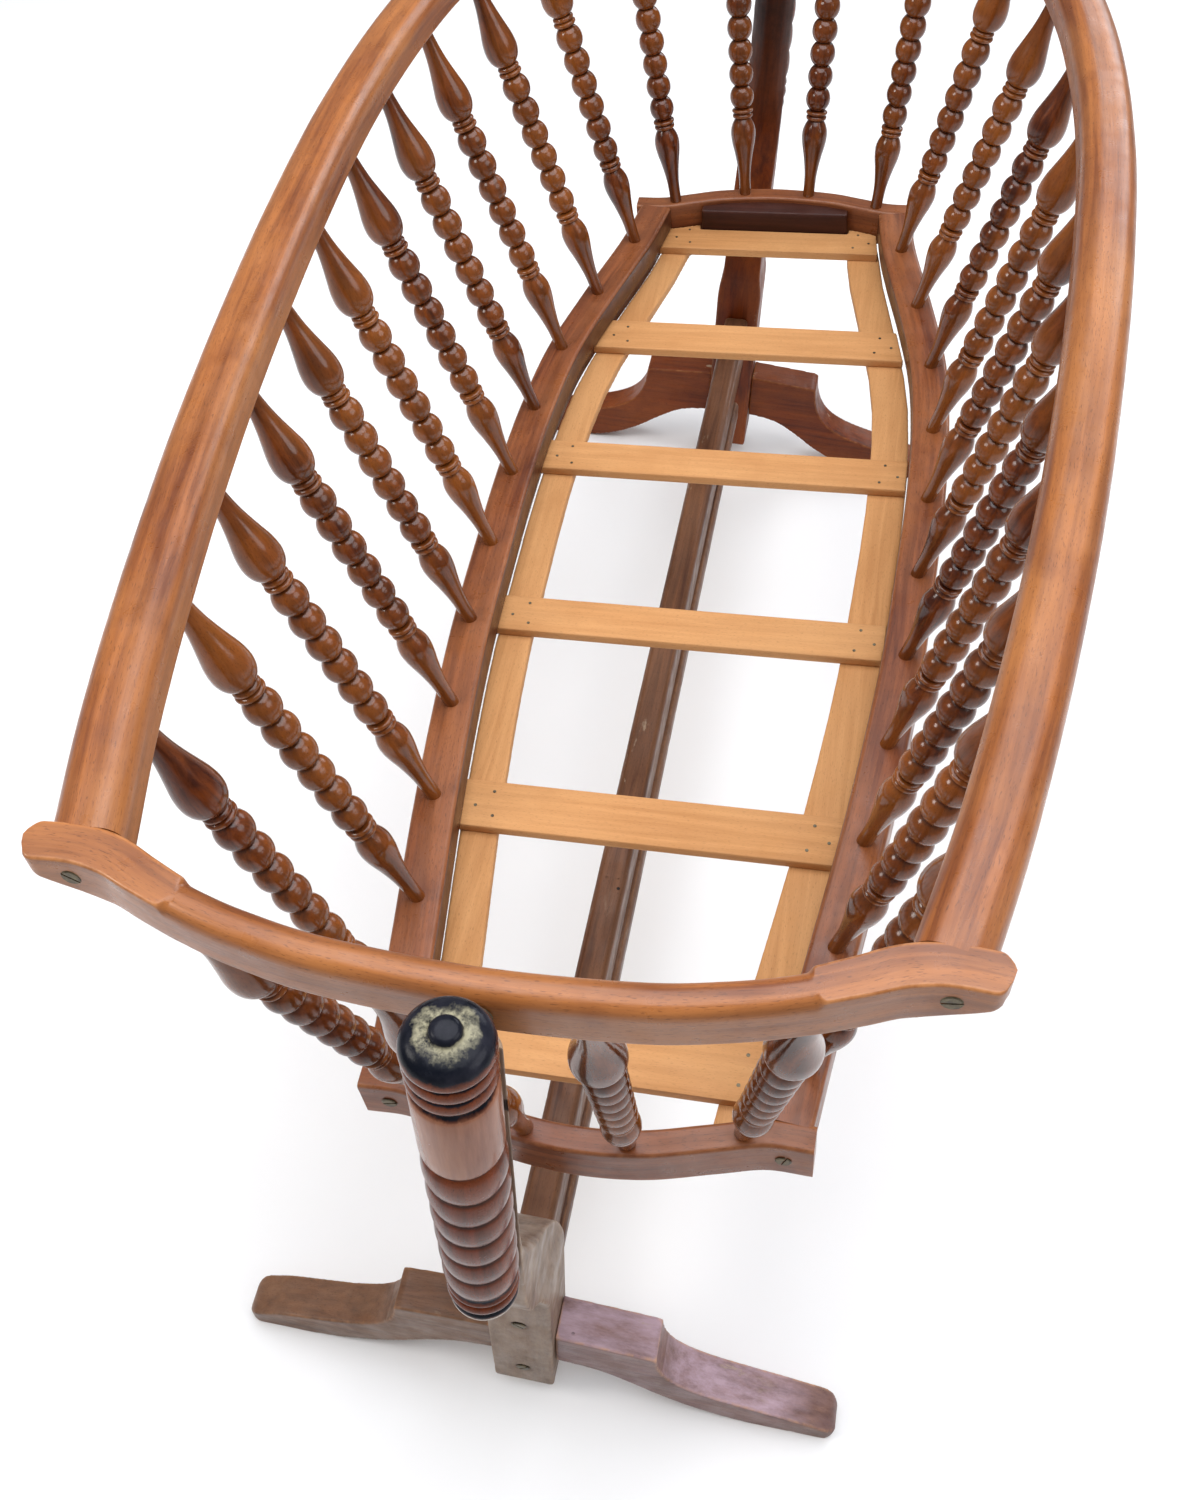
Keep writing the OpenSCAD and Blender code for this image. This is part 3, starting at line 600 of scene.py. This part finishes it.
def bead(centre, ball, long, half=0.0353):
    """A slightly long ball on the axis, between two sharp grooves."""
    reach = half * long
    return [(1.4 + ball * math.sqrt(1 - (reach * k / 8 / ball / 1.165) ** 2), centre * long + reach * k / 8)
            for k in range(-8, 9)]


def round_off(keys, long, steps=4):
    """A smooth run through (radius, share of the length) keys."""
    return [(r, z) for r, z in smooth([(r, z * long) for r, z in keys], steps)]


def spindle_outline(long):
    """A whole spindle as (radius, height): vase, double ring, six beads, double ring, vase."""
    low = round_off([(4.9, 0.0), (4.9, 0.03), (5.2, 0.065), (6.3, 0.1), (8, 0.137), (9.7, 0.167),
                     (10.6, 0.194), (10.4, 0.214), (9, 0.232), (7.2, 0.245), (6.4, 0.25)], long)
    rings = [(7.8, 0.2512), (8.5, 0.2545), (8.6, 0.258), (8.4, 0.2615), (6.9, 0.2655), (8.2, 0.2685),
             (8.9, 0.2713), (9, 0.274), (8.8, 0.2768), (7.9, 0.2792), (6.2, 0.2812)]
    balls = []
    for b in range(6):
        balls += bead(0.317 + b * 0.0706, 8.8 + b * 0.08, long)
    collar = [(6.2, 0.7062), (7.9, 0.7092), (8.8, 0.7128), (9, 0.716), (8.9, 0.7188), (8.2, 0.7208),
              (6.9, 0.7235), (8.2, 0.7268), (8.5, 0.731), (8.2, 0.7348), (6.4, 0.739)]
    high = round_off([(6.6, 0.7395), (8.6, 0.744), (11, 0.757), (12.3, 0.773), (12.6, 0.79), (11.9, 0.814),
                      (10.2, 0.842), (8.2, 0.875), (6.6, 0.907), (5.6, 0.94), (5.1, 0.968), (4.9, 1.0)], long)
    return ([(4.7, -4), (4.8, -1)] + low + [(r, z * long) for r, z in rings] + balls
            + [(r, z * long) for r, z in collar] + high + [(4.8, long + 1.5), (4.7, long + 3.9)])


def spindle(node, a, b):
    """A spindle between two plan points, on the bottom frame and under the racked upper rails."""
    low = Vector((*a, LOWER_TOP)) * MM
    d = RACK @ (Vector((*b, UPPER_Z)) * MM) - low
    lean = Vector((0, 0, 1)).rotation_difference(d).to_matrix().to_4x4()
    lathe(node + "_wood", spindle_outline(d.length / MM), 36, Matrix.Translation(low) @ lean, [node],
          "basket", "spindle_wood", HANG)


def along(line, y):
    """How far out the right half of a plan line is at y."""
    part = line[line[:, 0] > 0]
    part = part[np.argsort(part[:, 1])]
    return float(np.interp(y, part[:, 1], part[:, 0]))


# Where each end spindle stands on the bottom frame, and where it meets the upper rails.
FOOT_SPINDLES = [(-88, -432, -125, -491.5), (-28, -447, -42, -508), (28, -447, 42, -508),
                 (88, -432, 125, -491.5)]
HEAD_SPINDLES = [(-88, 433, -120, 466), (-28, 448, -42, 505), (28, 448, 42, 505), (88, 433, 120, 466)]
FIRST_Y, STEP_Y = -388, 75.8
for i in range(1, 12):
    foot_y = FIRST_Y + STEP_Y * (i - 1)
    # The tops stand a little farther apart than the feet, and nearer the head end.
    top_y = foot_y * 1.03 + 8
    foot_x, top_x = along(side_line, foot_y), along(hoop_line, top_y)
    spindle(f"left_spindle_{i:02d}", (-foot_x, foot_y), (-top_x, top_y))
    spindle(f"right_spindle_{i:02d}", (foot_x, foot_y), (top_x, top_y))
for end, places in (("foot", FOOT_SPINDLES), ("head", HEAD_SPINDLES)):
    for i, (foot_x, foot_y, top_x, top_y) in enumerate(places, 1):
        spindle(f"{end}_spindle_{i}", (foot_x, foot_y), (top_x, top_y))

# ------------------------------------------------------------------ turned columns

foot = [(13, 0), (16.2, 0.5), (18, 1.6), (18.9, 3.6), (19, 6), (18.6, 7.8), (16.8, 9.0), (16.7, 11),
        (18.2, 11.8), (19.3, 13.4), (19.9, 16), (19.3, 18.6), (18.2, 20), (16.9, 21), (18.2, 22.2),
        (19.2, 23.6), (19.6, 25), (19.2, 26.6), (18.4, 27.7)]
barrels = [(17.6 + 2.6 * math.sin(math.pi * k / 14) ** 0.5, 388 + 24 * i - 11.9 + 1.7 * k)
           for i in range(6) for k in range(15)]
band = [(17.1, 520.6), (17.1, 523.6), (18.6, 524.6), (19.4, 526), (19.7, 528.4), (19.75, 540),
        (19.75, 552), (19.75, 564), (19.7, 576), (19.3, 578.4), (18.4, 579.6), (17.2, 580.4),
        (17.2, 583), (18.4, 583.8), (19.4, 585.4), (19.9, 588), (19.4, 590.8), (18.5, 592.2)]
cap = [(17.8, 593), (18.7, 593.6), (19.6, 595.2), (20, 597.5), (19.7, 600), (18.9, 601.7),
       (18.0, 602.6), (18.2, 603.3), (19.4, 604.2), (20.1, 605.6), (20.2, 607.2), (19.9, 609.2),
       (19.1, 611.2), (17.6, 613), (15.4, 614.3), (12.6, 615.2), (9.6, 615.8), (7.6, 616.1)]
nub = [(6.6, 616.2), (6.2, 616.8), (6.0, 618), (5.5, 618.9), (4.4, 619.5), (2.6, 619.85), (0.01, 619.95)]
# The outlines above are drawn with OUTLINE_R as their widest radius.
share = COLUMN_R / OUTLINE_R
column = [(0.01, COLUMN_FOOT)] + [(r * share, COLUMN_FOOT + z) for r, z in foot] + [
    (r * share, z) for r, z in barrels + band + cap] + nub
for node, s in (("near_column", -1), ("far_column", 1)):
    inner, outer = sorted((s * 500, s * SEAM))
    lathe(node + "_wood", column, 96, Matrix.Translation((0, s * COLUMN_AXIS * MM, 0)), [node], "stand",
          "column_wood", None, bite=((-30, inner, 300), (30, outer, UPRIGHT_TOP)))

# ------------------------------------------------------------------ stand and slat frame


def near_marks(co, no):
    """Grey at the near end: rubbed, dusty wood, with painted sheen on the faces that look up."""
    up = np.clip(no[:, 2], 0, 1)
    neck = np.clip((co[:, 2] - 120) / 90, 0, 1)
    return {"fade": 0.45 + 0.35 * neck * (0.3 + 0.7 * up)}


def foot_marks(co, no):
    """Slightly greyer on the sides than on top; the grey on the sides is painted reflection of the pale
    floor.
    """
    return {"fade": np.where(no[:, 2] > 0.5, 0.1, 0.3)}


def sheen_marks(co, no):
    """Painted sheen: greyer on top, less on the sides, with the toe and the step rubbed back to brown."""
    x = co[:, 0]
    toe = np.clip((x - 170) / 22, 0, 1)
    step = np.clip(1 - np.abs(x - 92) / 9, 0, 1)
    return {"fade": np.where(no[:, 2] > 0.35, 0.85, 0.25) * (1 - 0.8 * toe) * (1 - 0.5 * step)}


def far_marks(co, no):
    """Darker varnish on the upright of the far post."""
    return {"stain": np.clip((co[:, 2] - 300) / 160, 0, 0.85)}


worn("near_post", "stand", "stand_wood", "Z", look="near_post", marks=near_marks)
worn("far_post", "stand", "stand_wood", "Z", look="far_stand", marks=far_marks)
worn("near_left_foot", "stand", "stand_wood", "X", dents=0.35, rounds=5, marks=foot_marks)
worn("near_right_foot", "stand", "stand_wood", "X", dents=0.35, rounds=5, look="grey_foot", marks=sheen_marks)
for node in ("far_left_foot", "far_right_foot"):
    worn(node, "stand", "stand_wood", "X", dents=0.35, rounds=5, look="far_stand")
worn("stretcher_beam", "stand", "stand_wood", "Y", dents=0.3)
worn("stretcher_batten", "stand", "stand_wood", "Y", dents=0.3)
worn("head_cleat", "basket", "rail_wood", "X", hung=HANG, look="dark_rail")
for node in ("left_strip", "right_strip"):
    worn(node, "basket", "bare_beech", "Y", voxel=1.1, dents=0.12, hung=HANG, rounds=2)
for i in range(1, 7):
    worn(f"slat_{i}", "basket", "bare_beech", "X", voxel=1.0, dents=0.12, hung=HANG, rounds=2)

# ------------------------------------------------------------------ floor and light

floor_mesh = bpy.data.meshes.new("floor")
floor_mesh.from_pydata([(-9, -9, 0), (9, -9, 0), (9, 9, 0), (-9, 9, 0)], [], [(0, 1, 2, 3)])
floor = bpy.data.objects.new("floor", floor_mesh)
bpy.context.scene.collection.objects.link(floor)
ground = Nodes("floor_look")
tone = ground.noise(ground.add("ShaderNodeTexCoord").outputs["Object"], 3, 3)
floor_mesh.materials.append(ground.shade(
    ground.mix(tone, (0.90, 0.90, 0.90), (0.93, 0.93, 0.925)), ground.remap(tone, 0.3, 0.7, 0.8, 0.9),
    ground.bump(tone, 0.02, 0.001)))


def lamp(name, place, aim, size, watts, colour):
    """A round area lamp at place, turned towards aim."""
    light = bpy.data.lights.new(name, "AREA")
    light.shape, light.size, light.energy, light.color = "DISK", size, watts, colour
    ob = bpy.data.objects.new(name, light)
    ob.location = place
    ob.rotation_euler = (Vector(aim) - Vector(place)).to_track_quat("-Z", "Y").to_euler()
    bpy.context.scene.collection.objects.link(ob)


lamp("overhead", (0.0, 0.1, 2.6), (0, 0, 0.3), 3.0, 84, (0.92, 0.95, 1.0))
lamp("window", (1.0, 2.6, 1.7), (0, 0, 0.45), 1.5, 20, (0.92, 0.95, 1.0))
lamp("left", (-2.0, -0.9, 1.9), (0, 0, 0.4), 0.9, 20, (1.0, 0.96, 0.92))
lamp("right", (2.2, -0.6, 1.9), (0, 0, 0.3), 1.8, 22, (0.96, 0.97, 1.0))

world = bpy.data.worlds.new("studio")
bpy.context.scene.world = world
world.use_nodes = True
back = world.node_tree.nodes["Background"]
back.inputs[0].default_value = (1.0, 1.0, 1.0, 1)
back.inputs[1].default_value = 0.28
bpy.context.scene.view_settings.view_transform = "Standard"
